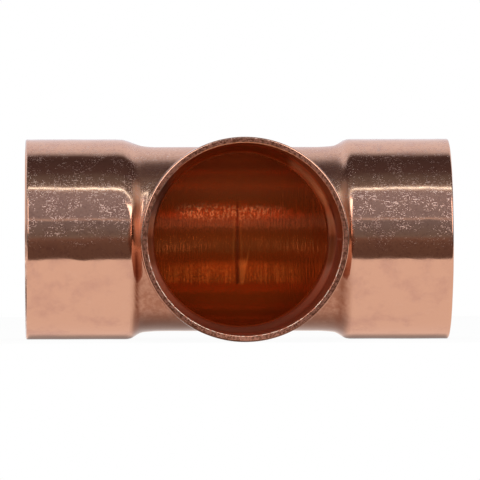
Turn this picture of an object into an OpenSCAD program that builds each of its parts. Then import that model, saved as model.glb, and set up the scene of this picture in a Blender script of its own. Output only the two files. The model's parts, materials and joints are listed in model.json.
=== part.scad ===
// Equal tee for soldered copper tube. One length of tube is bulged into a tee in a die, then
// punches swell its three ends into sockets. It lies with the run along X and the branch
// towards -Y, and the origin is where the two axes cross.

/* [Tube] */
// Outside diameter of the tube that is soldered in
tube_od = 22.2; // [12:0.1:35]
// How much wider than the tube a socket is, on the diameter
solder_gap = 0.14; // [0.04:0.01:0.3]

/* [Sockets] */
// Length of the socket's straight wall, from the tube stop to the mouth
socket_depth = 11.5; // [6:0.1:20]
// Wall thickness of the sockets
socket_wall = 0.76; // [0.6:0.02:1.2]
// Radius of the tumbled outer edge at each mouth
mouth_round = 0.2; // [0.1:0.05:0.4]
// Size of the deburred inner edge at each mouth
mouth_deburr = 0.1; // [0.04:0.02:0.16]

/* [Shoulders] */
// How far the bore narrows at the tube stop, on the radius
stop_step = 1.04; // [0.8:0.02:1.4]
// Length of a shoulder, from the barrel to the tube stop
shoulder_length = 3.0; // [1.6:0.1:4]
// Smallest bend radius of a shoulder
shoulder_bend = 1.8; // [0.4:0.05:2.4]

/* [Body] */
// Wall thickness of the barrel and the branch neck
barrel_wall = 0.85; // [0.6:0.01:1.2]
// Outside radius of the crotch where the branch neck leaves the barrel
crotch_radius = 1.5; // [0.6:0.1:4]
// Length between the crotch and the tube stop of each run socket
run_land = 1.2; // [0.5:0.1:10]
// Length between the crotch and the tube stop of the branch socket
branch_land = 3.2; // [0.5:0.1:14]
// Height of the fine ridge inside the barrel where the forming punches meet
ridge_height = 0.08; // [0.02:0.01:0.2]
// Width of that ridge
ridge_width = 0.5; // [0.2:0.05:1]

/* [Hidden] */

copper = [0.84, 0.55, 0.43];
round_steps = 96;                                   // facets of a full turn in previews
station_step = 6;                                   // degrees between the body's lines of points
blend_steps = 6;                                    // facets across the crotch
shoulder_steps = 8;                                 // facets along a shoulder
arc_steps = 6;                                      // facets along the rounded mouth edge

socket_bore = (tube_od + solder_gap) / 2;           // radius
socket_radius = socket_bore + socket_wall;
barrel_bore = socket_bore - stop_step;              // radius
barrel_radius = barrel_bore + barrel_wall;
crotch_reach = barrel_radius + crotch_radius;       // centre to the end of the crotch blend
run_stop = crotch_reach + run_land;                 // centre to the tube stop
branch_stop = crotch_reach + branch_land;           // centre to the branch's tube stop
ridge_share = 1 - ridge_width / 2 / (run_stop - shoulder_length);

function mix(a, b, t) = a + (b - a) * t;

// ---- Sockets ---------------------------------------------------------------------------

// Half section of a socket, from the tube stop at height 0 to the mouth.
module socket_section() {
    rounded = [
        for (i = [0 : arc_steps])
            let (a = 90 * i / arc_steps)
                [socket_radius, socket_depth] + mouth_round * [cos(a) - 1, sin(a) - 1]
    ];
    polygon(concat(
        [[socket_bore, 0], [socket_radius, 0]],
        rounded,
        [[socket_bore + mouth_deburr, socket_depth], [socket_bore, socket_depth - mouth_deburr]]
    ));
}

// A socket that stands on its tube stop, mouth up.
module socket() {
    color(copper)
        rotate_extrude($fn = round_steps)
            socket_section();
}

module left_socket() {
    translate([-run_stop, 0, 0])
        rotate([0, -90, 0])
            socket();
}

module right_socket() {
    translate([run_stop, 0, 0])
        rotate([0, 90, 0])
            socket();
}

module branch_socket() {
    translate([0, -branch_stop, 0])
        rotate([90, 0, 0])
            socket();
}

// ---- Body ------------------------------------------------------------------------------
// The body is modelled with its branch upwards, and then laid down. Its inner and outer skins
// have the same form at two radii: two tubes of one radius that cross, with a ball rolled
// along the groove between them. Each of the three ends is then swelled out to its socket.
// A skin is described by lines of points, one at each angle round the run. Towards the branch,
// a line leaves the run over the crotch and ends on the branch.

// Radius along a shoulder from r0 to r1: a bend, a slope and a bend back. The bends have the
// two radii given, or as much of them as a short shoulder has room for.
function shoulder_radius(along, r0, r1, first, second) =
    let (
        rise = r1 - r0,
        room = (pow(shoulder_length, 2) + pow(rise, 2)) / (2 * rise),
        share = min(1, room / (first + second)),
        a = first * share,
        b = second * share,
        slope = asin((a + b) / norm([rise - a - b, shoulder_length])) - atan2(a + b - rise, shoulder_length),
        to_go = shoulder_length - along
    )
    along <= 0 ? r0
    : to_go <= 0 ? r1
    : along < a * sin(slope) ? r0 + a - sqrt(pow(a, 2) - pow(along, 2))
    : to_go < b * sin(slope) ? r1 - b + sqrt(pow(b, 2) - pow(to_go, 2))
    : r0 + a * (1 - cos(slope)) + (along - a * sin(slope)) * tan(slope);

// How much wider a skin is than the barrel, at a distance before the tube stop.
function outer_swell(before) =
    shoulder_radius(
        shoulder_length - before, barrel_radius, socket_radius, shoulder_bend, shoulder_bend + socket_wall
    ) / barrel_radius;
function inner_swell(before) =
    shoulder_radius(
        shoulder_length - before, barrel_bore, socket_bore, shoulder_bend + barrel_wall, shoulder_bend
    ) / barrel_bore;

// A point moved outwards by the run's swell and the branch's. A point on the branch, where
// across is 1, takes no part in the run's, and one on the run, where across is 0, none in
// the branch's.
function swelled(p, across, outside) =
    let (
        run_before = run_stop - p.x,
        branch_before = branch_stop - p.z,
        run = outside ? outer_swell(run_before) : inner_swell(run_before),
        branch = outside ? outer_swell(branch_before) : inner_swell(branch_before),
        run_part = mix(run, 1, pow(across, 2)),
        branch_part = mix(1, branch, pow(across, 2))
    )
    [p.x * branch_part, p.y * run_part * branch_part, p.z * run_part];

// Distances from the centre along one end, from its tube stop to where a line meets the crotch.
// Most of them are on the shoulder.
function distances(stop, contact) =
    let (foot = max(stop - shoulder_length, mix(stop, contact, 0.8)))
    concat(
        [for (i = [0 : shoulder_steps - 1]) mix(stop, foot, i / shoulder_steps)],
        [foot, mix(foot, contact, 0.5), mix(foot, contact, ridge_share), contact]
    );

function reversed(list) = [for (i = [len(list) - 1 : -1 : 0]) list[i]];

// Where a ball of radius blend lies against both tubes, a share t of the way across.
function crotch_point(angle, radius, blend, t) =
    let (
        centre = (radius + blend) * [cos(angle), sin(angle), cos(angle)],
        to_run = [0, -sin(angle), -cos(angle)],
        to_branch = [-cos(angle), -sin(angle), 0],
        turn = acos(pow(sin(angle), 2)),
        way = (to_run * sin((1 - t) * turn) + to_branch * sin(t * turn)) / sin(turn)
    )
    centre + blend * way;

// A line from a run socket, over the crotch, to the branch socket. At the sides of the tee,
// where the two tubes only touch, the crotch shrinks to one point.
function crotch_line(angle, radius, blend, outside) =
    let (
        contact = (radius + blend) * cos(angle),
        y = radius * sin(angle),
        r = radius * cos(angle)
    )
    concat(
        [for (d = distances(run_stop, contact)) swelled([d, y, r], 0, outside)],
        [
            for (i = [1 : blend_steps - 1])
                let (t = i / blend_steps)
                    swelled(abs(angle) == 90 ? [0, y, 0] : crotch_point(angle, radius, blend, t), t, outside)
        ],
        [for (d = reversed(distances(branch_stop, contact))) swelled([r, y, d], 1, outside)]
    );

// A line along the back of the run, with a ridge of the given height at its middle.
function back_line(angle, radius, ridge, outside) = [
    for (d = distances(run_stop, 0))
        let (r = radius - (d == 0 ? ridge * pow(cos(angle), 2) : 0))
            swelled([d, r * sin(angle), r * cos(angle)], 0, outside)
];

// The four patches of one skin, each a list of lines of points: the crotch side and the back
// of each half of the tee.
function skin(radius, blend, ridge, outside) =
    let (
        front = [for (a = [-90 : station_step : 90]) crotch_line(a, radius, blend, outside)],
        back = [for (a = [90 : station_step : 270]) back_line(a, radius, ridge, outside)]
    )
    [
        for (side = [1, -1], patch = [front, back])
            [for (line = patch) [for (p = line) [side * p.x, p.y, p.z]]]
    ];

// A rim joins one end of an outer patch to the same end of the inner one.
function rim(outer, inner, end) = [for (i = [0 : len(outer) - 1]) [outer[i][end], inner[i][end]]];

// Triangles of a patch whose points start at index first, turned over for the patches that
// would otherwise face into the copper.
function patch_faces(patch, first, turned) =
    let (width = len(patch[0]))
    [
        for (i = [0 : len(patch) - 2], j = [0 : width - 2])
            let (
                a = first + i * width + j,
                b = a + 1,
                c = a + width + 1,
                d = a + width
            )
            each (turned ? [[a, b, c], [a, c, d]] : [[c, b, a], [d, c, a]])
    ];

function sum_before(sizes, i) = i == 0 ? 0 : sizes[i - 1] + sum_before(sizes, i - 1);

module body() {
    outer = skin(barrel_radius, crotch_radius, 0, true);
    inner = skin(barrel_bore, crotch_radius + barrel_wall, ridge_height, false);
    mouth = len(outer[0][0]) - 1;
    rims = concat(
        [for (i = [0 : 3]) rim(outer[i], inner[i], 0)],
        [for (i = [0, 2]) rim(outer[i], inner[i], mouth)]
    );
    patches = concat(outer, inner, rims);
    turned = concat(
        [false, false, true, true],
        [true, true, false, false],
        [true, true, false, false],
        [false, true]
    );
    sizes = [for (p = patches) len(p) * len(p[0])];
    polyhedron(
        points = [for (patch = patches, line = patch) each line],
        faces = [
            for (i = [0 : len(patches) - 1])
                each patch_faces(patches[i], sum_before(sizes, i), turned[i])
        ]
    );
}

module tee_body() {
    color(copper)
        rotate([90, 0, 0])
            body();
}

tee_body();
left_socket();
right_socket();
branch_socket();
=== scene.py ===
# %% [markdown]
# # A copper tee, from blank to bench
#
# A plumber's tee starts as a plain length of copper tube. A press bulges a branch out of its side,
# and three punches swell its ends into sockets. In this lesson the mesh is made the way the metal
# is: a flat pattern of lines is rolled into tubes, blended at the crotch and swelled at the ends,
# all by one Geometry Nodes tree. The finishes and a small studio follow.
#
# The frame is the CAD model, in place and in metres. Its box is measured before anything else,
# because the dressed tee may not outgrow it.

# %% Load the frame
import json
import math
import bpy
from mathutils import Matrix, Vector


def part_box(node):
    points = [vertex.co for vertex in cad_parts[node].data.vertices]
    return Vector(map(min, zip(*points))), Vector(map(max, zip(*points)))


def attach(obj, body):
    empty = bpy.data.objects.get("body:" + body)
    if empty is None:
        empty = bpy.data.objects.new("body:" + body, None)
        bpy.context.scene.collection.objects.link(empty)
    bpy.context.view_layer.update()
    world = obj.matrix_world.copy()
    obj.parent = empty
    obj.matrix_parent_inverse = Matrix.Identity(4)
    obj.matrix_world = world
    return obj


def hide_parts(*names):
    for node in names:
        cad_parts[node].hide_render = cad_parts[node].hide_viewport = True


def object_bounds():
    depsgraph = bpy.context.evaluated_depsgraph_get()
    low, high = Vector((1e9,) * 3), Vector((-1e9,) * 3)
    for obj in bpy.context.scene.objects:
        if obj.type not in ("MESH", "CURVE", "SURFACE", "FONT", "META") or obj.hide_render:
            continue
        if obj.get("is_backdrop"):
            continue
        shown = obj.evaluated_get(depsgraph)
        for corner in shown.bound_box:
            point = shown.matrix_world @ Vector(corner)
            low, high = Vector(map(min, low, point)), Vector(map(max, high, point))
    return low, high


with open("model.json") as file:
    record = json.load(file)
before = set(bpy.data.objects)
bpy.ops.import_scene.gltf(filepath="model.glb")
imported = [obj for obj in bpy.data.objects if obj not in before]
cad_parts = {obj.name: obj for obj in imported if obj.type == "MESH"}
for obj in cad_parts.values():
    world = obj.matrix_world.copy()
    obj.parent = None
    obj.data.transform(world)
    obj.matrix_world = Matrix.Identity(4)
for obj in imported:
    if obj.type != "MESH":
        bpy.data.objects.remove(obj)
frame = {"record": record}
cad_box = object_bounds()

MM = 0.001
scene = bpy.context.scene
print("CAD box in mm:", [[round(v / MM, 2) for v in corner] for corner in cad_box])

# %% [markdown]
# ## Camera
#
# The tee lies on the floor, and the camera looks into its branch. A near camera would make the
# branch mouth look much wider than the sockets behind it, so it stands a metre off with a long
# lens, and two degrees to the left, where a little of the neck's right wall shows. An empty could
# aim it, but a few lines of vectors leave nothing else in the scene.

# %% Place the camera
CAMERA_DISTANCE = 1000 * MM
CAMERA_AZIMUTH = math.radians(-2.05)
CAMERA_ELEVATION = math.radians(0.1)
CAMERA_ROLL = math.radians(-0.11)
VIEW_WIDTH = 57.2 * MM
SENSOR_WIDTH = 36
CAMERA_RANGE = 20
AIM = Vector((0.36, 0, -0.12)) * MM


def direction(azimuth, elevation):
    """A step of one metre from the middle: azimuth 0 is the branch's side, and 90 is the right."""
    return Vector((
        math.sin(azimuth) * math.cos(elevation),
        -math.cos(azimuth) * math.cos(elevation),
        math.sin(elevation),
    ))


def facing(away, place):
    """A place, turned so that a camera or a lamp there looks back along the way out."""
    return Matrix.Translation(place) @ away.to_track_quat("Z", "Y").to_matrix().to_4x4()


def put_in_scene(name, data):
    thing = bpy.data.objects.new(name, data)
    scene.collection.objects.link(thing)
    return thing


view = bpy.data.cameras.new("bench_camera")
view.sensor_width = SENSOR_WIDTH
view.lens = SENSOR_WIDTH * CAMERA_DISTANCE / VIEW_WIDTH
view.clip_end = CAMERA_RANGE
camera = put_in_scene("bench_camera", view)
away = direction(CAMERA_AZIMUTH, CAMERA_ELEVATION)
level = facing(away, AIM + away * CAMERA_DISTANCE)
camera.matrix_world = level @ Matrix.Rotation(CAMERA_ROLL, 4, "Z")
scene.camera = camera
print("camera at", [round(v, 3) for v in camera.location], "lens", round(view.lens))

# %% [markdown]
# ## Sizes
#
# The frame holds the tee's real sizes, so its lengths come from the nodes' boxes, and the
# bore from the record's mounts. Only what no box can tell is written here: the swell, the bends,
# the edges, and the faults of the work. The left punch ran in slightly askew, the right one left a
# longer shoulder on the branch's side, and the branch came out a hair wider than it is high.

# %% Read the sizes that the frame holds
socket_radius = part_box("left_socket")[1][2]
run_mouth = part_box("right_socket")[1][0]
run_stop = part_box("right_socket")[0][0]
branch_mouth = -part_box("branch_socket")[0][1]
branch_stop = -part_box("branch_socket")[1][1]
bores = {
    mount["name"]: mount["dims"]["r_mm"] * MM
    for mount in frame["record"]["mounts"] if mount["kind"] == "bore"
}
socket_bore = bores["branch_socket"]
print("bores in mm:", {name: round(r / MM, 2) for name, r in bores.items()})

# %% Write down the sizes of the work
SWELL_OUTSIDE, SWELL_INSIDE = 0.95 * MM, 1.04 * MM

SIZES = {
    "Socket radius": socket_radius,
    "Socket bore": socket_bore,
    "Barrel radius": socket_radius - SWELL_OUTSIDE,
    "Barrel bore": socket_bore - SWELL_INSIDE,
    "Crotch radius": 1.5 * MM,
    "Shoulder length": 4.1 * MM,
    "Branch oval": 0.013,
    "Left shoulder lean": 0.02,
    "Right shoulder toe": 0.033,
    "Run stop": run_stop,
    "Run mouth": run_mouth,
    "Branch stop": branch_stop,
    "Branch mouth": branch_mouth,
    "Mouth round": 0.2 * MM,
    "Mouth deburr": 0.12 * MM,
    "Ridge place": 0.4 * MM,
    "Ridge height": 0.08 * MM,
    "Ridge width": 0.22 * MM,
    "Unevenness": 0.04 * MM,
    "Unevenness size": 4.5 * MM,
}
print("thousandths:", {name: round(value / MM, 2) for name, value in SIZES.items()})

# %% [markdown]
# ## The flat pattern
#
# Think of lines drawn on the tube before it is formed. A line on the branch side runs from a run
# mouth, over the crotch, to the branch mouth, then round the rim and back through the bore to the
# run mouth again. A line on the back goes from the middle out to the mouth and back inside.
# Two cylinders and a Boolean would be quicker, but they leave a sharp, ragged join, where a tee
# has a smooth one.
#
# The pattern only says where each point is on its line. `turn` is the angle round the run, `along`
# counts 0 to 1 on the run, 1 to 2 across the crotch and 2 to 3 on the branch, and `inside` is 1 in
# the bore. Lines crowd where the metal bends and are sparse where it is straight.

# %% Share out the stations of a leg
TURN_STEPS = 90
CROTCH_STEPS = 12
SHOULDER_STEPS = 12
SOCKET_STEPS = 14
BARREL_STEPS = 16
AT_STOP = 0.3
AT_FOOT = 0.7
CLEAR_OF_EDGE = 0.6 * MM


def ladder(start, stop, steps):
    """Even steps, without the stop."""
    return [start + (stop - start) * i / steps for i in range(steps)]


def leg_stations(edge):
    """Shares of a leg from its mouth (0) to the crotch (1), with the given ones at the edge."""
    depth = run_mouth - run_stop
    socket = [AT_STOP * e / depth for e in edge]
    socket += ladder(AT_STOP * CLEAR_OF_EDGE / depth, AT_STOP, SOCKET_STEPS)
    shoulder = ladder(AT_STOP, AT_FOOT, SHOULDER_STEPS)
    steps = range(BARREL_STEPS, -1, -1)
    barrel = [1 - (1 - AT_FOOT) * (i / BARREL_STEPS) ** 2 for i in steps]
    return socket + shoulder + barrel


print("plain leg:", len(leg_stations([])), "stations")

# %% [markdown]
# ### The edge of a mouth
#
# A saw leaves a burr, and a quick turn of a deburring tool takes it off. That leaves a tiny round
# outside and a smaller one inside. A Bevel modifier could round them, but here the lines simply
# get more stations on the two quarter circles, and the forming tree bends them.

# %% Add stations on the rounded edges
ROUND_ANGLES, DEBURR_ANGLES = (90, 72, 54, 36, 18, 0), (90, 67, 45, 22, 0)
PAST_ROUND, PAST_DEBURR, CLEAR_OF_DEBURR = 0.08 * MM, 0.06 * MM, 0.3 * MM


def quarter(edge_radius, angles):
    """Distances from the mouth of points on a quarter circle."""
    return [edge_radius * (1 - math.sin(math.radians(a))) for a in angles]


ROUND, BURR = SIZES["Mouth round"], SIZES["Mouth deburr"]
rounded_edge = quarter(ROUND, ROUND_ANGLES) + [ROUND + PAST_ROUND]
deburred_edge = quarter(BURR, DEBURR_ANGLES) + [BURR + PAST_DEBURR, CLEAR_OF_DEBURR]
outside_leg = leg_stations(rounded_edge)
inside_leg = leg_stations(deburred_edge)
print(len(outside_leg), "stations outside and", len(inside_leg), "inside on each leg")

# %% Lay the stations end to end
ON_RIM = (0.1, 0.9)


def front_line():
    """Stations of a closed line on the branch side, as (along, inside)."""
    crotch = [1 + i / CROTCH_STEPS for i in range(1, CROTCH_STEPS)]
    outside = outside_leg + crotch + [3 - a for a in reversed(outside_leg)]
    inside = inside_leg + crotch + [3 - a for a in reversed(inside_leg)]
    line = [(a, 0) for a in outside] + [(3, share) for share in ON_RIM]
    return line + [(a, 1) for a in reversed(inside)] + [(0, share) for share in reversed(ON_RIM)]


def back_line():
    """Stations of an open line on the back, from the middle outside to the middle inside."""
    outside = [(a, 0) for a in reversed(outside_leg)]
    return outside + [(0, share) for share in ON_RIM] + [(a, 1) for a in inside_leg]


print("front line:", len(front_line()), "stations, back line:", len(back_line()))

# %% Draw the pattern
def draw_patch(line, start, closed, side, points, faces, marks):
    """A half turn of one line, on the right (side 1) or the left (side -1)."""
    first, width = len(points), len(line)
    for i in range(TURN_STEPS + 1):
        turn = math.radians(start + 180 * i / TURN_STEPS)
        for along, inside in line:
            points.append((along * side, inside, turn))
            for name, value in zip(marks, (turn, along, inside, side)):
                marks[name].append(value)
    for i in range(TURN_STEPS):
        for j in range(width if closed else width - 1):
            a, b = first + i * width + j, first + i * width + (j + 1) % width
            quad = (a, a + width, b + width, b)
            clockwise = (side == 1) == closed
            faces.append(quad if clockwise else quad[::-1])


points, faces, marks = [], [], {"turn": [], "along": [], "inside": [], "side": []}
for line, start, closed in ((front_line(), -90, True), (back_line(), 90, False)):
    for side in (1, -1):
        draw_patch(line, start, closed, side, points, faces, marks)
pattern = bpy.data.meshes.new("tee_pattern")
pattern.from_pydata(points, [], faces)
for name, values in marks.items():
    pattern.attributes.new(name, "FLOAT", "POINT").data.foreach_set("value", values)
print("pattern:", len(pattern.vertices), "points,", len(pattern.polygons), "faces")

# %% [markdown]
# ## Nodes from plain sums
#
# A formula in a node tree is a chain of Math nodes, which is long to write one link at a time.
# Two small helpers make a node and feed it, and a small class lets a socket be added and
# multiplied like a number. Each operation makes one node, so the tree that comes out is an
# ordinary one.

# %% Make a node and feed it
def feed(tree, slot, value):
    """Puts a number, a colour, a socket or a sum into an input."""
    value = value.socket if isinstance(value, Sum) else value
    if isinstance(value, bpy.types.NodeSocket):
        tree.links.new(value, slot)
    else:
        slot.default_value = value


def add(tree, kind, inputs=(), **options):
    node = tree.nodes.new(kind)
    for name, value in options.items():
        setattr(node, name, value)
    for name, value in dict(inputs).items():
        feed(tree, node.inputs[name], value)
    return node


# %% Let sockets add up
class Sum:
    def __init__(self, tree, socket):
        self.tree, self.socket = tree, socket

    def math(self, operation, *others):
        terms = enumerate((self, *others))
        node = add(self.tree, "ShaderNodeMath", terms, operation=operation)
        return type(self)(self.tree, node.outputs[0])

    def __add__(self, other): return self.math("ADD", other)
    def __sub__(self, other): return self.math("SUBTRACT", other)
    def __mul__(self, other): return self.math("MULTIPLY", other)
    def __truediv__(self, other): return self.math("DIVIDE", other)
    def __neg__(self): return self.math("MULTIPLY", -1)
    def __rsub__(self, other): return (-self) + other
    __radd__, __rmul__ = __add__, __mul__

    def at_least(self, low): return self.math("MAXIMUM", low)
    def at_most(self, high): return self.math("MINIMUM", high)
    def clamped(self): return self.at_least(0).at_most(1)
    def above(self, low): return self.math("GREATER_THAN", low)
    def below(self, high): return self.math("LESS_THAN", high)
    def unsigned(self): return self.math("ABSOLUTE")
    def squared(self): return self * self
    def root(self): return self.at_least(0).math("SQRT")
    def sin(self): return self.math("SINE")
    def cos(self): return self.math("COSINE")
    def toward(self, other, share): return self + (other - self) * share


print("sums:", [name for name in vars(Sum) if not name.startswith("_")])

# %% Ramps, peaks and curves
class Term(Sum):
    def stepped(self, low, high, to_low, to_high, kind="SMOOTHSTEP"):
        """Goes from one value to another as the sum goes from low to high."""
        terms = enumerate((self, low, high, to_low, to_high))
        node = add(self.tree, "ShaderNodeMapRange", terms, interpolation_type=kind)
        return Term(self.tree, node.outputs[0])

    def rising(self, low, high): return self.stepped(low, high, 0, 1)
    def falling(self, low, high): return self.stepped(low, high, 1, 0)
    def evenly(self, low, high, to_low=0, to_high=1):
        return self.stepped(low, high, to_low, to_high, "LINEAR")

    def peak(self, middle, width):
        """1 at the middle, and close to 0 two widths away."""
        return (-((self - middle) / width).squared()).math("EXPONENT")

    def shaped(self, points):
        """Bends a 0 to 1 value along a smooth curve through points."""
        node = add(self.tree, "ShaderNodeFloatCurve", {"Value": self})
        for x, y in points[1:-1]:
            node.mapping.curves[0].points.new(x, y)
        node.mapping.update()
        return Term(self.tree, node.outputs[0])


def split(tree, vector):
    """The three parts of a vector."""
    apart = add(tree, "ShaderNodeSeparateXYZ", {0: vector})
    return [Term(tree, part) for part in apart.outputs]


print("ramps:", [name for name in vars(Term) if not name.startswith("_")])

# %% [markdown]
# ## The forming tree
#
# The tree forms the metal in the order of the real presses: it rolls the tubes and bulges the
# branch, swells the sockets, and leaves the marks of the tools. Python could move the points just
# as well. In a tree each size is a named input on the modifier, so when the crotch radius or the
# shoulder length is dragged, the whole tee follows.

# %% Open the tree
FINISHES = ("Skin", "Bore", "Cut edge")


def open_tree(name):
    tree = bpy.data.node_groups.new(name, "GeometryNodeTree")
    new_socket = tree.interface.new_socket
    new_socket("Geometry", in_out="INPUT", socket_type="NodeSocketGeometry")
    new_socket("Geometry", in_out="OUTPUT", socket_type="NodeSocketGeometry")
    for size_name in SIZES:
        new_socket(size_name, in_out="INPUT", socket_type="NodeSocketFloat")
    for finish_name in FINISHES:
        new_socket(finish_name, in_out="INPUT", socket_type="NodeSocketMaterial")
    return tree


press = open_tree("form_the_tee")
given = press.nodes.new("NodeGroupInput")
size = {name: Term(press, given.outputs[name]) for name in SIZES}


def pattern_mark(name):
    node = add(press, "GeometryNodeInputNamedAttribute", {"Name": name}, data_type="FLOAT")
    return Term(press, node.outputs["Attribute"])


turn, along, inside, side = (pattern_mark(name) for name in ("turn", "along", "inside", "side"))
print("the tree has", len(press.interface.items_tree), "named sockets")

# %% [markdown]
# ### The crotch
#
# Where the branch leaves the run, the metal was drawn over the rounded lip of a die. Roll a ball
# along the groove between two crossing tubes of one radius: it touches the run at one point and
# the branch at another, and the arc between these points is the drawn lip. At the sides the two
# tubes only touch, and the arc shrinks to a point. Inside the bore the same ball is a wall
# thicker, so the wall keeps its thickness round the bend.

# %% Roll a ball along the crotch
SMALLEST_ARC = 0.0001

radius = size["Barrel radius"].toward(size["Barrel bore"], inside)
ball = size["Crotch radius"] + (size["Barrel radius"] - size["Barrel bore"]) * inside
reach = radius + ball
contact = reach * turn.cos().at_least(0)
across = (along - 1).clamped()

arc = turn.sin().squared().at_most(1).math("ARCCOSINE").at_least(SMALLEST_ARC)
to_run = ((1 - across) * arc).sin() / arc.sin()
to_branch = (across * arc).sin() / arc.sin()
crotch_x = contact - ball * turn.cos() * to_branch
y = turn.sin() * (reach - ball * (to_run + to_branch))
crotch_z = turn.cos() * (reach - ball * to_run)
print("crotch:", len(press.nodes), "nodes")

# %% [markdown]
# ### The legs
#
# A leg is straight, so a point on it needs only its distance from the centre. The pattern gives
# that as a share of the leg, and the shares of the tube stop and of the shoulder's foot are fixed,
# so the stations stay crowded on the shoulder. Where the crotch comes close to a shoulder, its
# foot gives way. In the tree the branch points along z and the tee's height is y, and the last
# step lays the tee down. Plain lengths would be simpler, but they break when a size changes.

# %% Stretch the legs
NEAREST_FOOT = 0.8


def leg_distance(share, mouth, stop):
    """Distance from the centre at a share of a leg: mouth, tube stop, shoulder's foot, crotch."""
    foot = (stop - size["Shoulder length"]).at_least(stop.toward(contact, NEAREST_FOOT))
    socket = share.evenly(0, AT_STOP, 0, stop - mouth)
    shoulder = share.evenly(AT_STOP, AT_FOOT, 0, foot - stop)
    barrel = share.evenly(AT_FOOT, 1, 0, contact - foot)
    return mouth + socket + shoulder + barrel


on_run = leg_distance(along.at_most(1), size["Run mouth"], size["Run stop"])
on_branch = leg_distance((3 - along).at_most(1), size["Branch mouth"], size["Branch stop"])
x = crotch_x + on_run - contact
z = crotch_z + on_branch - contact
print("legs:", len(press.nodes), "nodes")

# %% [markdown]
# ### The shoulders
#
# A punch with a rounded nose swells each end, and the shoulder takes the nose's shape: slow at
# the foot, steep in the middle, and soft again where it meets the socket. A smooth step would do
# for a toy, but polished metal shows the difference at once, so a curve through a few points
# follows the real nose. On the branch's side the metal was drawn in and the step came out
# sharper, and the askew left punch left the upper left shoulder softer.

# %% Shape the punch's nose
NOSE = [
    (0, 0), (0.2, 0.04), (0.38, 0.1), (0.48, 0.16), (0.57, 0.31), (0.7, 0.66), (0.78, 0.86),
    (0.88, 0.97), (1, 1),
]
SHARP_NOSE = [
    (0, 0), (0.2, 0.03), (0.35, 0.12), (0.46, 0.23), (0.53, 0.36), (0.64, 0.66), (0.73, 0.9),
    (0.8, 0.97), (1, 1),
]
SOFT_NOSE = [
    (0, 0), (0.2, 0.05), (0.38, 0.15), (0.5, 0.3), (0.62, 0.5), (0.75, 0.72), (0.87, 0.88),
    (0.95, 0.96), (1, 1),
]


def rounding(past_edge, edge_radius):
    """How far a quarter circle has bent the wall back, at a distance from the mouth."""
    past = (past_edge + edge_radius).at_least(0)
    return edge_radius - (edge_radius.squared() - past.squared()).root()


def leg_radius(distance, mouth, stop, sharp, soft):
    """Radius of the wall at a distance from the centre, over shoulder, socket and mouth edge."""
    rise = distance.evenly(stop - size["Shoulder length"], stop)
    nose = rise.shaped(NOSE).toward(rise.shaped(SHARP_NOSE), sharp)
    nose = nose.toward(rise.shaped(SOFT_NOSE), soft)
    outer = size["Barrel radius"].toward(size["Socket radius"], nose)
    inner = size["Barrel bore"].toward(size["Socket bore"], nose)
    outer = outer - rounding(distance - mouth, size["Mouth round"])
    inner = inner + rounding(distance - mouth, size["Mouth deburr"])
    return outer.toward(inner, inside)


print("noses of", len(NOSE), len(SHARP_NOSE), "and", len(SOFT_NOSE), "points")

# %% Swell the sockets
SOFT_FROM, SOFT_TO = 0.22, 0.5

on_left = -side.at_most(0)
askew = size["Right shoulder toe"] * z * side.at_least(0) + size["Left shoulder lean"] * y * on_left
askew = askew * x.falling(size["Run stop"], size["Run mouth"])
sharp = turn.cos().at_least(0).squared()
soft = y.rising(SOFT_FROM * size["Socket radius"], SOFT_TO * size["Socket radius"]) * on_left

run_radius = leg_radius(x - askew, size["Run mouth"], size["Run stop"], sharp, soft)
branch_radius = leg_radius(z, size["Branch mouth"], size["Branch stop"], 0, 0)
branch_part = across.squared()
run_swell = (run_radius / radius).toward(1, branch_part)
branch_swell = (branch_radius / radius - 1) * branch_part + 1
oval = 1 + size["Branch oval"] * z.rising(size["Barrel radius"], size["Branch mouth"])
print("swell:", len(press.nodes), "nodes")

# %% [markdown]
# ### The ridge in the bore
#
# Two punches come in from the ends of the run and all but meet. A hair of metal is left between
# them on the back wall. It is a real ridge here and not a bump in the finish, because it is what
# everyone sees through the branch, and the solid model has it as well.

# %% Raise the ridge and lay the tee down
ridge = (x * side).peak(size["Ridge place"], size["Ridge width"]) * (-turn.cos()).at_least(0)
ridge = 1 - ridge * size["Ridge height"] * inside / radius
place = add(press, "ShaderNodeCombineXYZ", enumerate((
    x * branch_swell * side * oval,
    -(z * run_swell * ridge),
    y * run_swell * branch_swell * ridge,
)))
print("ridge:", len(press.nodes), "nodes")

# %% [markdown]
# ### Marks for the finishes
#
# The finishes need to know where the tools have been, and where shade and highlights are painted.
# `sheet` is the place on the unrolled metal, in millimetres, which keeps drawing lines straight
# along every leg. The other marks are the nip where the punch's nose pressed the front of a run
# shoulder, which gets a painted line of shade, the part of the same nip above it, which is rubbed
# rough and painted pale as a highlight, and the corner below, which gets painted shade. Vertex
# paint could hold such marks too, but a formula in the tree follows the sizes when they change.

# %% Work out the marks
SKEW = 0.2
BORE_APART = 40
# On the left and on the right.
NIP_PLACES, NIP_WIDTHS, NIP_SHARES = (0.66, 0.53), (0.06, 0.11), (0.9, 0.5)
RUB_PLACE, RUB_WIDTH = 0.6, 0.14
FRONT_UNDER, FRONT_BEYOND = (5 * MM, 9.5 * MM), (2 * MM, 4 * MM)
CREASE_UNDER, RUB_ABOVE, RUB_UNDER = (-1.6 * MM, -0.6 * MM), (-1.8 * MM, 0), (6.3 * MM, 7.6 * MM)
STAIN_RISE, STAIN_DOWN, STAIN_BEYOND = (0.58, 0.9), (0.5 * MM, 6 * MM), (0.3 * MM, 2 * MM)

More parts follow.
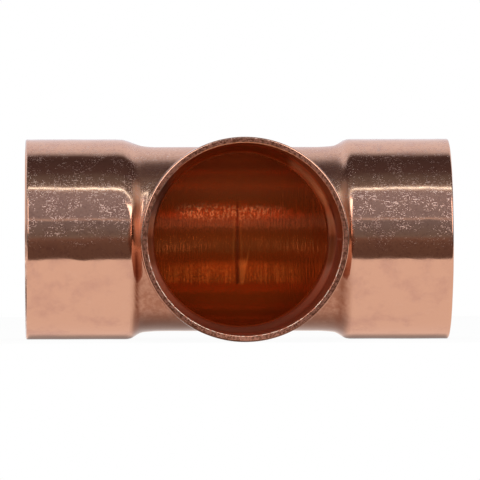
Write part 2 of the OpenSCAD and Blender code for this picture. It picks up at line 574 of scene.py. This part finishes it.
sheet = add(press, "ShaderNodeCombineXYZ", enumerate((
    (x - z.at_least(0)) / MM,
    radius * turn.cos() / MM + BORE_APART * inside,
    (radius * turn.sin() + x * side * SKEW) / MM,
)))
outside = 1 - inside
rise = (x - askew).evenly(size["Run stop"] - size["Shoulder length"], size["Run stop"])
front = y.falling(*FRONT_UNDER) * outside * z.rising(*FRONT_BEYOND)
nip_place, nip_width, nip_share = (
    side.stepped(-1, 1, *pair) for pair in (NIP_PLACES, NIP_WIDTHS, NIP_SHARES)
)
# Where the painted shade line, the painted highlight and the corner's painted shade go.
crease = (rise - nip_place).peak(0, nip_width) * front * nip_share
rubbed = rise.peak(RUB_PLACE, RUB_WIDTH) * front
stain = rise.falling(*STAIN_RISE) * (-y).rising(*STAIN_DOWN) * outside
marks = {
    "crease": crease * y.falling(*CREASE_UNDER),
    "rubbed": rubbed * y.rising(*RUB_ABOVE) * y.falling(*RUB_UNDER),
    "stain": stain * z.rising(*STAIN_BEYOND),
}
print("marks:", list(marks))

# %% [markdown]
# ### From sums to metal
#
# So far the tree has only done sums. Now the marks are stored, the points move to their places,
# and the seams between the patches are merged. Drawing and swelling leave the wall a few
# hundredths of a millimetre uneven, which bends every reflection, so a soft noise pushes the
# points inwards. Inwards only, so that a socket never outgrows its real size. The tree ends with
# one material for each of the skin, the bore and the sawn rims.

# %% Place the points and merge the seams
MERGE = 0.002 * MM


def shape(kind, geometry, inputs=(), **options):
    """Adds a geometry node after another one."""
    return add(press, kind, {0: geometry.outputs[0], **dict(inputs)}, **options)


keep = "GeometryNodeStoreNamedAttribute"
metal = shape(keep, given, {"Name": "sheet", "Value": sheet.outputs[0]}, data_type="FLOAT_VECTOR")
for name, value in marks.items():
    metal = shape(keep, metal, {"Name": name, "Value": value})
metal = shape("GeometryNodeSetPosition", metal, {"Position": place.outputs[0]})
metal = shape("GeometryNodeMergeByDistance", metal, {"Distance": MERGE})
print("stored:", ["sheet", *marks])

# %% Make the wall uneven
WOBBLE_DETAIL = 1.5

scale = size["Unevenness size"].math("POWER", -1)
wobble = add(press, "ShaderNodeTexNoise", {"Scale": scale, "Detail": WOBBLE_DETAIL},
             noise_dimensions="3D")
inward = -(Term(press, wobble.outputs[0]) * size["Unevenness"])
normal = press.nodes.new("GeometryNodeInputNormal")
push = add(press, "ShaderNodeVectorMath", {0: normal.outputs[0]}, operation="SCALE")
feed(press, push.inputs["Scale"], inward)
metal = shape("GeometryNodeSetPosition", metal, {"Offset": push.outputs[0]})
metal = shape("GeometryNodeSetShadeSmooth", metal)
print("uneven by up to", SIZES["Unevenness"] / MM, "mm")

# %% Hand out the finishes
PAST_SKIN, PAST_RIM = 0.01, 0.99

in_bore = inside.above(PAST_RIM)
on_rim = inside.above(PAST_SKIN) * inside.below(PAST_RIM)
dress = "GeometryNodeSetMaterial"
metal = shape(dress, metal, {"Material": given.outputs["Skin"]})
metal = shape(dress, metal, {"Selection": in_bore, "Material": given.outputs["Bore"]})
metal = shape(dress, metal, {"Selection": on_rim, "Material": given.outputs["Cut edge"]})
metal = shape("GeometryNodeRealizeInstances", metal)
add(press, "NodeGroupOutput", {0: metal.outputs[0]})
print("forming tree:", len(press.nodes), "nodes")

# %% [markdown]
# ## Finishes
#
# Each finish is a metal with one base colour, and the life comes from what the work has done to
# it: clouds of tarnish, tiny pits, hair lines, and places that tools have rubbed. Some places also
# get painted shade, painted highlights and painted reflections. All patterns read the tee's own
# coordinates or the marks from the tree, so they stay put on the metal.
#
# A finish is a few kinds of move repeated, so a small class names them. Sizes in it are in
# millimetres. A noise runs from about 0.3 to 0.7, and a ramp inside that span sets how much of
# the metal it marks, and how sharply. The first roughness is for viewers that can't read nodes.

# %% Open a finish
class Surface:
    def __init__(self, name, color, roughness, metallic=1):
        self.material = bpy.data.materials.new(name)
        self.material.use_nodes = True
        self.tree = self.material.node_tree
        self.shader = self.tree.nodes["Principled BSDF"]
        self.shader.inputs["Base Color"].default_value = (*color, 1)
        self.shader.inputs["Metallic"].default_value = metallic
        self.shader.inputs["Roughness"].default_value = roughness
        self.normal = None

    def mark(self, name, output="Fac"):
        """A value that the forming tree has left on the metal."""
        node = add(self.tree, "ShaderNodeAttribute", attribute_name=name)
        return Term(self.tree, node.outputs[output])

    def place(self, stretch=(1, 1, 1), sheet=False):
        """Where a point is, from the tee's centre or on the unrolled sheet."""
        if sheet:
            point = self.mark("sheet", "Vector")
        else:
            point = self.tree.nodes.new("ShaderNodeTexCoord").outputs["Object"]
            stretch = [s / MM for s in stretch]
        scaled = add(self.tree, "ShaderNodeVectorMath", {0: point, 1: stretch},
                     operation="MULTIPLY")
        return scaled.outputs[0]

    def report(self):
        kinds = [node.bl_idname for node in self.tree.nodes]
        print(self.material.name, "nodes:", len(kinds), "tones:", kinds.count("ShaderNodeMix"))


# %% Patterns and moves of a finish
RAG_SCALE, RAG_SHARE = 1.3, 0.25


class Finish(Surface):
    def noise(self, place, size, detail=2.0, roughness=0.5):
        node = add(self.tree, "ShaderNodeTexNoise", {
            "Vector": place, "Scale": 1 / size, "Detail": detail, "Roughness": roughness,
        })
        return Term(self.tree, node.outputs[0])

    def pits(self, place, size, smallest, largest):
        """Ragged pits on scattered points: 0 on plain metal and 1 in the middle of a pit."""
        rag = add(self.tree, "ShaderNodeTexNoise", {"Vector": place, "Scale": RAG_SCALE / size})
        ragged = add(self.tree, "ShaderNodeVectorMath", {
            0: rag.outputs["Color"], 1: (size * RAG_SHARE,) * 3, 2: place},
            operation="MULTIPLY_ADD")
        cells = add(self.tree, "ShaderNodeTexVoronoi",
                    {"Vector": ragged.outputs[0], "Scale": 1 / size})
        apart = add(self.tree, "ShaderNodeSeparateColor", {0: cells.outputs["Color"]})
        chance = Term(self.tree, apart.outputs[0]).squared()
        pit_radius = chance * ((largest - smallest) / size) + smallest / size
        return Term(self.tree, cells.outputs["Distance"]).falling(0, pit_radius)

    def tone(self, share, color):
        """Turns the base colour to another one by a share."""
        base = self.shader.inputs["Base Color"]
        before = base.links[0].from_socket if base.is_linked else base.default_value
        mix = add(self.tree, "ShaderNodeMix", {"A": before, "B": (*color, 1)}, data_type="RGBA")
        feed(self.tree, mix.inputs["Factor"], share)
        feed(self.tree, base, mix.outputs["Result"])

    def polish(self, roughness):
        feed(self.tree, self.shader.inputs["Roughness"], roughness)

    def dent(self, height, depth):
        """Dents the surface by a depth where the height is 1."""
        bump = add(self.tree, "ShaderNodeBump", {"Distance": depth * MM, "Height": height},
                   invert=True)
        if self.normal:
            feed(self.tree, bump.inputs["Normal"], self.normal)
        self.normal = bump.outputs[0]
        feed(self.tree, self.shader.inputs["Normal"], self.normal)


print("moves:", [name for name in vars(Finish) if not name.startswith("_")])

# %% [markdown]
# ### The bright outer skin
#
# New fittings are pickled and tumbled, so the skin is a bright salmon metal that mirrors the room.
# Faint clouds of tarnish make it duller in places. A perfectly plain metal would look like
# plastic foil, because a mirror shows its own small faults: waves a few millimetres long bend the
# reflections, and fine grain and hair lines fray them.

# %% Give the skin its copper
COPPER, TARNISH = (0.69, 0.36, 0.24), (0.6, 0.3, 0.21)
EDGE_TINT = (1, 0.9, 0.85, 1)
SKIN_ROUGHNESS = 0.12
CLOUD_SIZE, GRAIN_SIZE, WAVE_SIZE = 3.0, 0.12, 3.5
GRAIN_DEPTH, WAVE_DEPTH = 0.0012, 0.036
HAIR_LINES = (0.04, 5, 5)

skin = Finish("bright_copper_skin", COPPER, SKIN_ROUGHNESS)
skin.shader.inputs["Specular Tint"].default_value = EDGE_TINT
skin_place = skin.place()
skin_x, skin_y, height = split(skin.tree, skin_place)
cloud = skin.noise(skin_place, CLOUD_SIZE, 4, 0.6)
skin.tone(cloud.rising(0.45, 0.75), TARNISH)
skin.dent(skin.noise(skin_place, GRAIN_SIZE, 2), GRAIN_DEPTH)
skin.dent(skin.noise(skin_place, WAVE_SIZE, 1), WAVE_DEPTH)
skin.dent(skin.noise(skin.place(HAIR_LINES, sheet=True), 1.0, 3), GRAIN_DEPTH)
skin.report()

# %% [markdown]
# ### The nips beside the branch
#
# The corner between a run shoulder and the branch gets painted shade, patchy and darkest low
# down. The nose of the punch left a nip there, with a painted line of shade in it, and above it
# rubbed metal, rougher and painted pale as a highlight. The tree has left a mark for each, and a
# mark only has to be toned. The skin above the middle is finely mottled.

# %% Tone the nips
GRIME, OXIDE, NIP_DARK = (0.37, 0.145, 0.085), (0.12, 0.04, 0.022), (0.17, 0.035, 0.01)
MOTTLED, RUBBED = (0.42, 0.18, 0.13), (0.95, 0.45, 0.27)
GRIME_SIZE, THIN_GRIME = 0.9, 0.68
OXIDE_UNDER, RIGHT_OXIDE = (-10.3, -7.8), 0.75
MOTTLE_SIZE, MOTTLE_SHARE, MOTTLE_ABOVE = 0.3, 0.5, (-2.8, -2.2)

# Painted shade in the corner, in patches, and darker still low down.
grime = skin.noise(skin_place, GRIME_SIZE, 4, 0.65).stepped(0.35, 0.6, THIN_GRIME, 1)
stained = skin.mark("stain")
skin.tone(stained * grime, GRIME)
skin.tone(stained * height.falling(*OXIDE_UNDER) * skin_x.stepped(-1, 1, 1, RIGHT_OXIDE), OXIDE)
# A painted line of shade in the nip.
skin.tone(skin.mark("crease"), NIP_DARK)
mottle = skin.noise(skin_place, MOTTLE_SIZE, 3, 0.6).stepped(0.5, 0.7, 0, MOTTLE_SHARE)
skin.tone(mottle * height.rising(*MOTTLE_ABOVE), MOTTLED)
# The rubbed metal above it is painted pale, as a highlight.
rubbed_nip = skin.mark("rubbed")
skin.tone(rubbed_nip, RUBBED)
skin.report()

# %% [markdown]
# ### Specks from the tumbling barrel
#
# In the barrel the fittings knock each other, and each knock leaves a chip of rough metal a tenth
# of a millimetre wide, or a short scuff. Bumps cut out of a noise look like worms, so these are
# slightly ragged pits on the scattered points of a Voronoi texture. A speck is rougher than the
# skin, so it takes light from everywhere, and it is painted paler as a glint. It shows on a dark
# reflection and vanishes in a bright one. The underside has few.

# %% Scatter the specks
KNOCKED, KNOCKED_SHARE, SCUFF_SHARE = (0.92, 0.7, 0.62), 0.55, 0.7
SCUFF_STRETCH = (0.25, 1.4, 1.4)
# Distance apart, smallest radius, largest radius.
CHIPS, SCUFFS = (0.14, 0.02, 0.1), (0.2, 0.005, 0.12)
# From, to, and the shares of specks there.
LOW_TO_MIDDLE, MIDDLE_TO_TOP = (-2.5, 3.2, 0.1, 1.4), (6.5, 8, 1, 0.75)
PATCH_SIZE, PATCHES = 1.5, (0.38, 0.62, 0.2, 1.7)

spread = skin.noise(skin_place, PATCH_SIZE, 3).stepped(*PATCHES)
spread = spread * height.stepped(*LOW_TO_MIDDLE) * height.stepped(*MIDDLE_TO_TOP)
chips = skin.pits(skin_place, *CHIPS) * spread
scuffs = skin.pits(skin.place(SCUFF_STRETCH), *SCUFFS) * spread
knocked = chips.at_least(scuffs * SCUFF_SHARE)
# The specks are painted paler, as glints.
skin.tone(knocked.at_most(1) * KNOCKED_SHARE, KNOCKED)
skin.report()

# %% [markdown]
# ### The skin's polish
#
# The skin is brightest where no tarnish lies. Specks and rubbed nips scatter the light, and so
# does the upper side of the branch's neck, which was drawn out over the die. One number would do
# for new sheet metal, but an uneven polish is what makes a fitting look handled.

# %% Polish the skin
BRIGHT, DRAWN, ROUGH = 0.06, 0.27, 0.45
DRAWN_WITHIN, DRAWN_BEHIND, DRAWN_ABOVE = (11.8, 12.8), (-12.5, -10.5), (5.5, 7)

polish = cloud.stepped(0.3, 0.7, BRIGHT, SKIN_ROUGHNESS).toward(ROUGH, knocked.rising(0, 0.8))
drawn = skin_x.unsigned().falling(*DRAWN_WITHIN) * skin_y.rising(*DRAWN_BEHIND)
drawn = drawn * height.rising(*DRAWN_ABOVE)
skin.polish(polish.toward(ROUGH, rubbed_nip).toward(DRAWN, drawn))
skin.report()

# %% [markdown]
# ### The drawn bore
#
# Inside, light bounces from copper to copper, and each bounce takes out more blue and green, so a
# deep bore glows red brown. Cycles does that by itself, and past the tube stops a darker, redder
# colour is painted on as well, as painted shade. This metal is not fully metallic, so it scatters
# a little. The branch's bore is a darker, redder copper. Its upper half has painted shade, more on
# the left, its very top a painted highlight, and one patch of its step a painted orange
# reflection, while the painted shade past its stop is lighter below. On the back wall the painted
# shade is lighter above, darker in the middle, and darker again in a band below the upper track.
# A painted map could hold all this, but ramps need no unwrapping.

# %% Give the bore its copper
# Past the first two, these colours paint shade, highlights and a reflection in the bore.
BORE_COPPER, STEP_COPPER, UPPER_STEP = (0.78, 0.42, 0.29), (0.62, 0.2, 0.11), (0.4, 0.09, 0.025)
DEEP, DEEP_ABOVE, DEEP_MIDDLE = (0.47, 0.082, 0.0105), (0.49, 0.13, 0.033), (0.35, 0.062, 0.008)
WORN_STEP, SHADED_STEP = (1, 0.36, 0.14), (0.16, 0.04, 0.015)
TOP_STEP, DULLED = (0.65, 0.22, 0.09), (0.34, 0.1, 0.035)
BORE_ROUGHNESS, BORE_METALLIC = 0.22, 0.8
# Distances past a tube stop, and out along the branch.
FILM_STARTS, STEP_STARTS, STEP_ENDS, BRANCH_STARTS = (-1.6, 0.4), (-3.3, -2.8), (-0.6, 0), (8, 10)
CLEANER_BELOW = (-5, -1, 2, 0)

bore = Finish("drawn_copper_bore", BORE_COPPER, BORE_ROUGHNESS, BORE_METALLIC)
bx, by, bz = split(bore.tree, bore.place())
past_stop = (bx.unsigned() - run_stop / MM).at_least(-by - branch_stop / MM)
past_mouth = (bx.unsigned() - run_mouth / MM).at_least(-by - branch_mouth / MM)
in_branch = (-by).rising(*BRANCH_STARTS)
deep = past_stop.falling(*FILM_STARTS)
deep_in_step = (past_stop + in_branch * bz.stepped(*CLEANER_BELOW)).falling(*FILM_STARTS)
step = past_stop.rising(*STEP_STARTS) * past_stop.falling(*STEP_ENDS) * in_branch
bore.report()

# %% Deepen it past the stops
UPPER_HALF, UPPER_SHARE = (0, 2), (2, 8, 0.9, 0.6)
TOP_ABOVE, TOP_WITHIN = (8.5, 9.5), (4, 7)
WORN_ABOVE, WORN_BEYOND = (3.5, 5.5), (5.2, 6.4)
SHADE_ABOVE, SHADE_BEYOND = (-0.5, 1), (-9, -7.5)
PALER_ABOVE, MIDDLE_UNDER, MIDDLE_ABOVE = (3, 6), (1, 2.4), (-3.6, -2.4)
DULL_HEIGHT, DULL_WIDTH, DULL_SHARE = 2.1, 0.9, 0.85

bore.tone(in_branch, STEP_COPPER)
# Painted shade on the upper half of the branch's bore, and a painted highlight at its very top.
bore.tone(in_branch * bz.rising(*UPPER_HALF) * bx.stepped(*UPPER_SHARE), UPPER_STEP)
bore.tone(in_branch * bz.rising(*TOP_ABOVE) * bx.unsigned().falling(*TOP_WITHIN), TOP_STEP)
# Painted shade past the tube stops, lighter below in the branch.
bore.tone(deep_in_step, DEEP)
# A painted orange reflection on a patch of the step, and more painted shade on the upper left.
bore.tone(step * bz.rising(*WORN_ABOVE) * bx.rising(*WORN_BEYOND), WORN_STEP)
bore.tone(in_branch * bz.rising(*SHADE_ABOVE) * bx.falling(*SHADE_BEYOND), SHADED_STEP)
# On the back wall the painted shade is lighter above, darker in the middle and in a band.
bore.tone(bz.rising(*PALER_ABOVE) * deep * (1 - step), DEEP_ABOVE)
bore.tone(bz.falling(*MIDDLE_UNDER) * bz.rising(*MIDDLE_ABOVE) * deep, DEEP_MIDDLE)
bore.tone(bz.peak(DULL_HEIGHT, DULL_WIDTH) * deep * DULL_SHARE, DULLED)
bore.report()

# %% [markdown]
# ### The mandrel's tracks
#
# A mandrel holds the bore open while the branch is drawn out, and it has rubbed two tracks along
# the back wall. The copper is painted paler there, as rub marks and as a painted reflection of the
# bands of light that the back wall mirrors: flecked in the upper track and streaked across in the
# lower one, with finer sparks in both. The drawing rings run round the bore, so the metal is
# anisotropic and smears its highlights along the tube. A tangent along x is all that this takes.

# %% Rub the tracks
UPPER_TRACK, LOWER_TRACK = (1, 0.5, 0.22), (1, 0.24, 0.04)
STREAKS, FLECKS, SPARKS, FRAY = (4, 0.12, 0.12), (4.2, 1.3, 1.3), (4.5, 3, 3), (0.3, 0.5, 0.5)
UPPER_FROM, UPPER_TO = (1.9, 3.3), (4.1, 4.9)
LOWER_FROM, LOWER_TO = (-5, -4.4), (-4.2, -2.4)
UPPER_LEFT, UPPER_RIGHT = (-7.5, -5.5), (2, 7.5)
LOWER_LEFT, LOWER_RIGHT = (-9.5, -7), (5.5, 9.5)
RINGED = 0.95

on_back = by.above(0)
streaks, flecks, sparks = (
    bore.noise(bore.place(stretch, sheet=True), 1.0, 2, 0.6)
    for stretch in (STREAKS, FLECKS, SPARKS)
)
fray = bore.noise(bore.place(FRAY), 1.0, 2) - 0.5
upper = (bz + fray * 2).rising(*UPPER_FROM) * (bz + fray + flecks).falling(*UPPER_TO)
upper = upper * bx.rising(*UPPER_LEFT) * bx.falling(*UPPER_RIGHT) * on_back
# The upper track: rub marks and a painted reflection.
bore.tone(upper * (sparks * 0.6 + flecks * 0.4).stepped(0.47, 0.6, 0.08, 1), UPPER_TRACK)
lower = (bz + fray).falling(*LOWER_TO) * (bz + streaks).rising(*LOWER_FROM)
lower = lower * bx.rising(*LOWER_LEFT) * bx.falling(*LOWER_RIGHT) * on_back
# The lower track: rub marks and a painted reflection.
bore.tone(lower * (streaks * 0.5 + sparks * 0.5).stepped(0.43, 0.6, 0.22, 1), LOWER_TRACK)
along_x = add(bore.tree, "ShaderNodeCombineXYZ", {0: 1})
bore.shader.inputs["Anisotropic"].default_value = RINGED
feed(bore.tree, bore.shader.inputs["Tangent"], along_x.outputs[0])
bore.report()

# %% [markdown]
# ### The seam
#
# The ridge between the punches is real metal from the forming tree. It has kept a line of dirt,
# its flanks have a faint painted highlight, and the painted highlight of a fold leans away from it
# on the right, with more painted highlight between the two. All are thinner than the faces of the
# mesh, so they are toned and not modelled.

# %% Draw the seam
SEAM_DIRT, FOLD_BRIGHT = (0.22, 0.032, 0.006), (1, 0.3, 0.06)
RIDGE_X, FOLD_X, FOLD_LEAN = SIZES["Ridge place"] / MM, 1.99, 0.172
SEAM_UNDER, SEAM_ABOVE, FOLD_UNDER, BETWEEN_UNDER = (3.6, 5.2), (-5.6, -5.2), (-3, -0.8), (-3.4, -2)
DIRT_WIDTH, DIRT_TAPER, DIRT_SHARE = 0.2, 0.022, 0.9
FLANK_OFF, FLANK_TAPER, FLANK_WIDTH, FOLD_WIDTH = 0.42, 0.03, 0.13, 0.1
FLANK_SHARE, FOLD_SHARE, BETWEEN_SHARE = 0.15, 0.55, 0.9

off_seam = bx - RIDGE_X
off_fold = bx - bz * FOLD_LEAN - FOLD_X
seam_part = bz.falling(*SEAM_UNDER) * bz.rising(*SEAM_ABOVE) * on_back
flank = (off_seam.unsigned() + bz * FLANK_TAPER).peak(FLANK_OFF, FLANK_WIDTH) * seam_part
fold = off_fold.peak(0, FOLD_WIDTH) * seam_part * bz.falling(*FOLD_UNDER)
between = off_fold.below(0) * off_seam.above(0) * bz.falling(*BETWEEN_UNDER) * seam_part
# Painted highlights on the flanks, on the fold, and between the fold and the seam.
bright = (flank * FLANK_SHARE).at_least(fold * FOLD_SHARE).at_least(between * BETWEEN_SHARE)
bore.tone(bright, FOLD_BRIGHT)
dirt = off_seam.peak(0, DIRT_WIDTH - bz * DIRT_TAPER) * seam_part
bore.tone(dirt * DIRT_SHARE, SEAM_DIRT)
print("seam at x =", round(RIDGE_X, 2), "mm")

# %% [markdown]
# ### Burrs and polish
#
# The deburring tool leaves a broken line on the inner edge of each mouth, which is rougher than the
# bore and painted pale as a highlight, most of it below. The sockets were swelled dry and are
# rougher than the drawn wall between them, and the step into the branch is rough as well.

# %% Polish the bore
BURR_BRIGHT, BURR_ROUGH = (0.95, 0.68, 0.52), 0.4
BURR_STARTS, BURR_ABOVE, BURR_SIZE = (-0.16, -0.08), (-3, 1, 1, 0.2), 0.3
IN_RUN, IN_SOCKET, ON_STEP = (-10, -6), (-0.3, 0.5), (-4, -3)
LEAST_ROUGH, RUN_ROUGH, SOCKET_ROUGH, STEP_ROUGH = 0.13, 0.05, 0.14, 0.15
STREAK_DEPTH, FLECK_DEPTH = 0.05, 0.03

burr = past_mouth.rising(*BURR_STARTS) * bz.stepped(*BURR_ABOVE)
burr = burr * bore.noise(bore.place(), BURR_SIZE, 1).stepped(0.42, 0.58, 0.1, 1)
# The deburred edge is painted pale, as a highlight.
bore.tone(burr, BURR_BRIGHT)
in_run = by.rising(*IN_RUN)
in_socket = past_stop.rising(*IN_SOCKET)
on_step = past_stop.rising(*ON_STEP) * in_branch
rough = in_run * RUN_ROUGH + in_socket * SOCKET_ROUGH + on_step * STEP_ROUGH + LEAST_ROUGH
bore.polish(rough.toward(BURR_ROUGH, burr))
bore.dent(streaks * in_run, STREAK_DEPTH)
bore.dent(flecks * in_run, FLECK_DEPTH)
bore.report()

# %% [markdown]
# ### The sawn rims
#
# The ends are sawn and only wiped with the deburring tool, so their faces are a dull, grainy
# copper with dark specks. One noise for the grain and one for the specks are enough, because a
# rim is under a millimetre wide.

# %% Grain the rims
SAWN, SPECK = (0.64, 0.28, 0.19), (0.26, 0.095, 0.055)
SAWN_ROUGHNESS, SPECK_SIZE, SAW_GRAIN_SIZE, SAW_GRAIN_DEPTH = 0.3, 0.22, 0.16, 0.012

rim = Finish("sawn_copper_edge", SAWN, SAWN_ROUGHNESS)
rim_place = rim.place()
rim.tone(rim.noise(rim_place, SPECK_SIZE, 3).rising(0.42, 0.62), SPECK)
rim.dent(rim.noise(rim_place, SAW_GRAIN_SIZE, 2), SAW_GRAIN_DEPTH)
rim.report()

# %% [markdown]
# ## Running the presses
#
# The pattern gets the tree as a modifier, and the sizes go in by each socket's identifier, since
# names need not be unique. The evaluated result is kept as a plain mesh, so the tee no longer
# depends on its tree. It then takes the place of the four CAD nodes, which are only names for
# stretches of the same seamless piece.

# %% Form the tee and keep it as a plain mesh
def run_tree(name, mesh, tree, inputs):
    blank = put_in_scene(name + "_blank", mesh)
    modifier = blank.modifiers.new("press", "NODES")
    modifier.node_group = tree
    for item in tree.interface.items_tree:
        if item.item_type == "SOCKET" and item.in_out == "INPUT" and item.name in inputs:
            modifier[item.identifier] = inputs[item.name]
    graph = bpy.context.evaluated_depsgraph_get()
    formed = bpy.data.meshes.new_from_object(blank.evaluated_get(graph), depsgraph=graph)
    blank.modifiers.clear()
    bpy.data.objects.remove(blank)
    formed.name = name
    return put_in_scene(name, formed)


finishes = dict(zip(FINISHES, (skin.material, bore.material, rim.material)))
tee = run_tree("copper_tee", pattern, press, {**SIZES, **finishes})
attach(tee, "root")
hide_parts("tee_body", "left_socket", "right_socket", "branch_socket")
print("tee:", len(tee.data.vertices), "points,", len(tee.data.polygons), "faces")

# %% [markdown]
# ## Studio
#
# Polished metal is only as good as the room it mirrors. A studio for it is built of large plain
# cards: white below and behind, a dark ceiling, and a narrow tube of light that draws the bright
# line along the fitting. On a tube that lies along x, a strip of metal at one height mirrors one
# elevation of the room. So the room is a list of bands: an elevation in degrees (0 in front of
# the branch, 90 overhead), a level of light, and a tint.
#
# The lamps and the grey fill keep matt surfaces at a plain level: a card that faces the camera
# renders about as it is painted.

# %% List the bands of the room
PLAIN, COOL, HAZE = (1, 1, 1), (0.98, 1.1, 1.25), (0.95, 1.04, 1.25)
DUSK, RUST, TUBE = (1, 0.78, 0.82), (1.22, 0.88, 0.76), (1, 1.4, 1.5)

BANDS = [
    (-180, 0.6, PLAIN), (-155, 0.75, PLAIN), (-140, 0.97, PLAIN), (-28, 1, PLAIN),
    (-24, 0.4, PLAIN), (-22, 0.12, RUST), (-4, 0.14, RUST), (0, 0.19, RUST),
    (2.4, 0.2, PLAIN), (3, 0.28, PLAIN), (3.6, 0.2, PLAIN), (21.4, 0.25, HAZE),
    (22.2, 0.8, PLAIN), (23.2, 0.8, PLAIN), (24, 0.33, HAZE), (56, 0.4, HAZE),
    (59.3, 0.6, PLAIN), (59.9, 3.4, TUBE), (60.7, 3.4, TUBE), (61.3, 0.5, PLAIN),
    (65, 0.22, PLAIN), (75, 0.16, PLAIN), (84, 0.1, DUSK), (104, 0.075, DUSK),
    (111, 0.1, DUSK), (115, 0.42, COOL), (120, 0.8, COOL), (130, 0.95, COOL),
    (180, 0.95, COOL),
]
print(len(BANDS), "bands, brightest", max(level for _, level, _ in BANDS))

# %% [markdown]
# ### The world
#
# The bands become a colour ramp round the x axis. Only glossy rays see them. Diffuse light comes
# from a plain dim grey, and the camera sees plain white, so the backdrop stays white however the
# bands are tuned. Cards do not reach round the ends of the room, so the bands fade there. The
# bore needs many bounces of light, so their limit is raised. Mirrored caustics would only add
# noise, so they are off.

# %% Turn the bands into a ramp
GREY_FILL = (0.12, 0.12, 0.12, 1)
WHITE = (1, 1, 1, 1)
ROOM_END, LAST_CORNER = (0.7, 0.95, 1, 0.3), (0.95, 0.99, 1, 0.2)
BOUNCES = 12

world = bpy.data.worlds.new("studio")
scene.world = world
world.use_nodes = True
tree = world.node_tree
tree.nodes.clear()
around = tree.nodes.new("ShaderNodeTexCoord").outputs["Generated"]
wx, wy, wz = split(tree, around)
ramp = add(tree, "ShaderNodeValToRGB", {0: wz.math("ARCTAN2", -wy) / (2 * math.pi) + 0.5})
steps = ramp.color_ramp.elements
steps.remove(steps[0])
for i, (degrees, level, tint) in enumerate(BANDS):
    position = (degrees + 180) / 360
    band = steps[0] if i == 0 else steps.new(position)
    band.position = position
    band.color = (*(level * t for t in tint), 1)
print("ramp:", len(steps), "steps")

# %% Show each kind of ray its own light
ends = wx.unsigned().stepped(*ROOM_END) * wx.unsigned().stepped(*LAST_CORNER)
room = add(tree, "ShaderNodeBackground", {"Color": ramp.outputs[0], "Strength": ends})
fill = add(tree, "ShaderNodeBackground", {"Color": GREY_FILL})
backdrop = add(tree, "ShaderNodeBackground", {"Color": WHITE})
path = tree.nodes.new("ShaderNodeLightPath").outputs
mirrored = add(tree, "ShaderNodeMixShader", {
    0: path["Is Glossy Ray"], 1: fill.outputs[0], 2: room.outputs[0]})
seen = add(tree, "ShaderNodeMixShader", {
    0: path["Is Camera Ray"], 1: mirrored.outputs[0], 2: backdrop.outputs[0]})
add(tree, "ShaderNodeOutputWorld", {0: seen.outputs[0]})
scene.view_settings.view_transform = "Standard"
scene.cycles.glossy_bounces = BOUNCES
scene.cycles.max_bounces = BOUNCES
scene.cycles.caustics_reflective = False
print("world:", len(tree.nodes), "nodes")

# %% [markdown]
# ### The lamps
#
# Two tall softboxes stand left and right of the branch, and the metal mirrors them as the pale
# flares on its shoulders. That is all they do, so matt surfaces don't see them. A fill lamp
# straight in front lights the bore through the branch, and a wide one overhead lights the rest
# and gives the tee its shadow. These two are hidden from glossy rays, since a mirrored lamp would
# sit as a white square on the metal. A lamp's power follows its area, so that a level means the
# same brightness at any size.

# %% Hang the lamps
def softbox(name, azimuth, elevation, distance, width, height, level):
    """A card of light that faces the tee. Angles are in degrees and lengths in metres."""
    data = bpy.data.lights.new(name, "AREA")
    data.shape = "RECTANGLE"
    data.size, data.size_y = width, height
    data.energy = level * math.pi * width * height
    lamp = put_in_scene(name, data)
    away = direction(math.radians(azimuth), math.radians(elevation))
    lamp.matrix_world = facing(away, away * distance)
    lamp.visible_camera = False
    return lamp


flares = [
    softbox(name, azimuth, elevation=26, distance=0.7, width=0.26, height=0.5, level=3)
    for name, azimuth in (("left_softbox", -27), ("right_softbox", 27))
]
fills = [
    softbox("front_fill", 0, elevation=2, distance=0.9, width=0.4, height=0.2, level=27),
    softbox("top_light", 0, elevation=75, distance=0.9, width=0.6, height=0.6, level=5),
]
for lamp in flares:
    lamp.visible_diffuse = False
for lamp in fills:
    lamp.visible_glossy = False

# %% [markdown]
# ### The paper
#
# The tee lies on a sheet of white paper, which ends just in front of the branch so that the room
# below shows in the metal. The camera and the copper should see it as white, yet it has to keep
# the tee's shadow. So its colour is mostly a glow for these two kinds of ray, and the rest is
# plain paper that takes the shadow. Right under the metal the paper mirrored in it is dark, and
# ambient occlusion finds those places.

# %% Finish the paper
PAPER_WHITE = (0.8, 0.8, 0.8)
GLOW_SHARE = 0.96
SHADOW_REACH = 0.6 * MM
SHADOW_LEVEL = 0.35
OPEN_ENOUGH = 0.6

paper = Finish("white_paper", PAPER_WHITE, roughness=1, metallic=0)
paper.shader.inputs["Specular IOR Level"].default_value = 0
tree = paper.tree
path = tree.nodes.new("ShaderNodeLightPath").outputs
by_camera = Term(tree, path["Is Camera Ray"])
gap = add(tree, "ShaderNodeAmbientOcclusion", {"Distance": SHADOW_REACH})
openness = Term(tree, gap.outputs["AO"]).stepped(0, OPEN_ENOUGH, SHADOW_LEVEL, 1)
glow = add(tree, "ShaderNodeEmission", {"Strength": openness.at_least(by_camera)})
glowing = by_camera.at_least(Term(tree, path["Is Glossy Ray"])) * GLOW_SHARE
mix = add(tree, "ShaderNodeMixShader", {
    0: glowing, 1: paper.shader.outputs[0], 2: glow.outputs[0]})
feed(tree, tree.nodes["Material Output"].inputs[0], mix.outputs[0])
paper.report()

# %% Lay the paper
PAPER = ((-0.25, -0.034), (0.25, -0.034), (0.25, 0.25), (-0.25, 0.25))

floor = cad_box[0][2]
mesh = bpy.data.meshes.new("paper_sheet")
mesh.from_pydata([(*corner, floor) for corner in PAPER], [], [(0, 1, 2, 3)])
mesh.materials.append(paper.material)
plane = put_in_scene("paper_sheet", mesh)
plane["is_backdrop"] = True
print("paper at z =", round(floor / MM, 2), "mm")

# %% [markdown]
# ## The last measure
#
# The dressed tee's box is measured next to the CAD's and both are written down. Each difference
# should be a few hundredths of a millimetre, and inwards.

# %% Measure and finish
dressed_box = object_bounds()
grown = [round((b - a) / MM, 3) for m, n in zip(cad_box, dressed_box) for a, b in zip(m, n)]
print("moved by mm, low corner then high corner:", grown)
